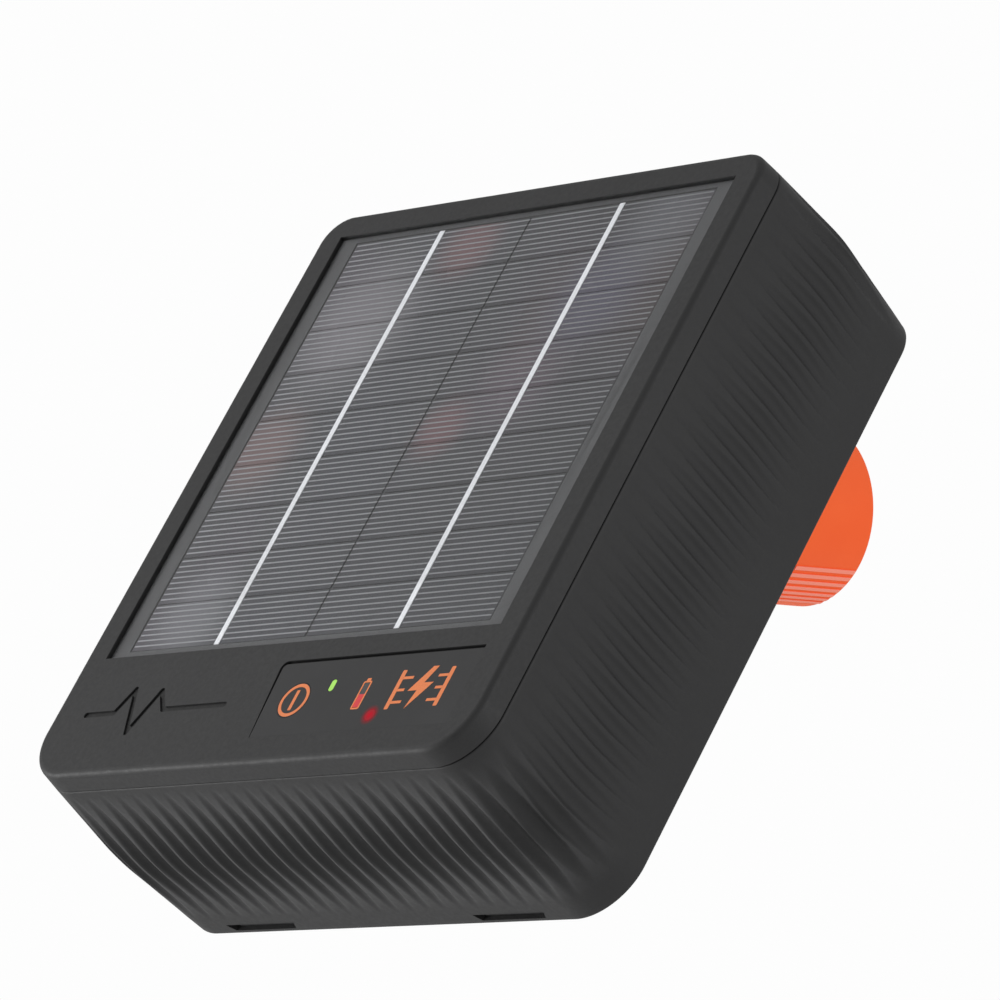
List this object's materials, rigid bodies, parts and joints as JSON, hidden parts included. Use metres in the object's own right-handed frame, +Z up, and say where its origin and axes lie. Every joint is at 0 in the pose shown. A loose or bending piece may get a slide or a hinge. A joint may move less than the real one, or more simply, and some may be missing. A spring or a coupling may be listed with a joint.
{
  "type": "solar fence energizer",
  "caption": "Post-mounted solar electric-fence energizer: ribbed black housing with a flat solar face, power button, indicator lights, terminals, tilting clamp bracket and round clamp knob.",
  "frame": {"origin": "where the fence post's axis crosses the clamp screw's axis, level with the tilt hinge", "axes": "+Z up along the post, +Y to the back along the clamp screw towards its knob, +X to the right seen from the front; the solar face looks towards -Y and leans back 34.2 degrees"},
  "size_m": [0.153, 0.1779, 0.1718],
  "materials": {
    "housing_black": "fine satin grain, UV-stable black plastic",
    "cover_black": "fine satin grain",
    "overlay_black": "smooth satin",
    "panel_film": "clear solar film over the cells",
    "panel_border": "dark grey backing board",
    "silicon": "blue-grey crystalline silicon with fine silver fingers",
    "silver_ribbon": "tinned copper ribbon",
    "foam_tape": "closed-cell foam tape",
    "gasket_rubber": "soft black seal",
    "light_green": "green-lit light pipe",
    "light_red": "red-lit light pipe",
    "orange_plastic": "bright orange satin plastic",
    "red_plastic": "red satin plastic",
    "green_plastic": "green satin plastic",
    "bracket_black": "glass-filled nylon",
    "zinc_steel": "bright zinc plate",
    "stainless": "stainless steel",
    "spring_steel": "spring steel",
    "brass": "plated brass",
    "board_green": "green circuit board with solder mask",
    "component_black": "moulded component body",
    "laminated_steel": "stacked silicon-steel laminations",
    "bobbin_white": "nylon bobbin",
    "copper_winding": "enamelled copper wire",
    "capacitor_blue": "film capacitor case",
    "aluminium_fin": "extruded heat sink",
    "battery_wrap": "heat-shrink wrapped cell",
    "tray_plastic": "moulded tray",
    "nickel": "nickel strip",
    "lead_red": "PVC insulation",
    "lead_black": "PVC insulation",
    "lead_white": "high-voltage silicone insulation",
    "vent_grey": "breathable vent plug",
    "header_white": "nylon wire header",
    "led_clear": "clear LED body",
    "washer_nylon": "nylon friction washer"
  },
  "bodies": {
    "post_bracket_body": {"post_bracket": "bracket_black"},
    "energizer": {"back_cover": "cover_black", "battery_cells": "battery_wrap", "battery_leads": "lead_red", "battery_light_pipe": "light_red", "battery_strap": "tray_plastic", "battery_tray": "tray_plastic", "board_screws": "zinc_steel", "breather_vent": "vent_grey", "busbar_ribbons": "silver_ribbon", "button_spring": "spring_steel", "cell_tabs": "nickel", "circuit_board": "board_green", "control_overlay": "overlay_black", "controller_chip": "component_black", "cover_screws": "stainless", "earth_stud": "stainless", "fence_stud": "stainless", "filter_capacitors": "component_black", "friction_washers": "washer_nylon", "front_bezel": "housing_black", "front_gasket": "gasket_rubber", "heat_sink": "aluminium_fin", "hinge_pin": "stainless", "hinge_pin_clip": "spring_steel", "housing_screws": "stainless", "indicator_leds": "led_clear", "lead_tags": "brass", "output_leads": "lead_white", "panel_backing": "panel_border", "panel_glass": "panel_film", "panel_junction_box": "component_black", "panel_leads": "lead_black", "panel_tape": "foam_tape", "rear_gasket": "gasket_rubber", "rear_shell": "housing_black", "solar_cells": "silicon", "status_light_pipe": "light_green", "storage_capacitor": "capacitor_blue", "stud_nuts": "zinc_steel", "stud_seals": "gasket_rubber", "tact_switch": "component_black", "thyristor": "component_black", "transformer_bobbin": "bobbin_white", "transformer_core": "laminated_steel", "transformer_feet": "tray_plastic", "transformer_winding": "copper_winding", "warning_light_pipe": "light_red", "wire_headers": "header_white"},
    "jaw": {"clamp_jaw": "bracket_black", "jaw_retaining_pins": "stainless", "thrust_washer": "washer_nylon"},
    "knob": {"clamp_knob": "orange_plastic", "clamp_screw": "zinc_steel", "knob_cap": "orange_plastic"},
    "button": {"power_button": "overlay_black"},
    "fence_clamp": {"fence_washer": "stainless"},
    "fence_nut": {"fence_terminal_knob": "red_plastic"},
    "earth_clamp": {"earth_washer": "stainless"},
    "earth_nut": {"earth_terminal_knob": "green_plastic"}
  },
  "joints": [
    {"name": "panel_tilt", "type": "hinge", "parent": "post_bracket_body", "child": "energizer", "pos_m": [0, -0.019, 0], "axis": [1, 0, 0], "range_deg": [-5.8, 34.2]},
    {"name": "jaw_slide", "type": "slide", "parent": "post_bracket_body", "child": "jaw", "axis": [0, 1, 0], "range_m": [0, 0.005]},
    {"name": "knob_turn", "type": "hinge", "parent": "jaw", "child": "knob", "pos_m": [0, 0.02, 0], "axis": [0, 1, 0], "range_deg": [0, 1441]},
    {"name": "button_press", "type": "slide", "parent": "energizer", "child": "button", "axis": [0, 0.8271, -0.5621], "range_m": [0, 0.0008], "stiffness_N_per_m": 1500, "deforming": ["button_spring"]},
    {"name": "fence_clamp_slide", "type": "slide", "parent": "energizer", "child": "fence_clamp", "axis": [0, 0.8271, -0.5621], "range_m": [0, 0.003]},
    {"name": "fence_knob_turn", "type": "hinge", "parent": "fence_clamp", "child": "fence_nut", "pos_m": [-0.028, -0.07549, -0.07926], "axis": [0, 0.8271, -0.5621], "range_deg": [0, 1081]},
    {"name": "earth_clamp_slide", "type": "slide", "parent": "energizer", "child": "earth_clamp", "axis": [0, 0.8271, -0.5621], "range_m": [0, 0.003]},
    {"name": "earth_knob_turn", "type": "hinge", "parent": "earth_clamp", "child": "earth_nut", "pos_m": [0.028, -0.07549, -0.07926], "axis": [0, 0.8271, -0.5621], "range_deg": [0, 1081]}
  ],
  "couplings": [
    {"joint": "knob_turn", "follows": "jaw_slide", "rad_per_m": 5026.5},
    {"joint": "fence_knob_turn", "follows": "fence_clamp_slide", "rad_per_m": 6283.2},
    {"joint": "earth_knob_turn", "follows": "earth_clamp_slide", "rad_per_m": 6283.2}
  ]
}
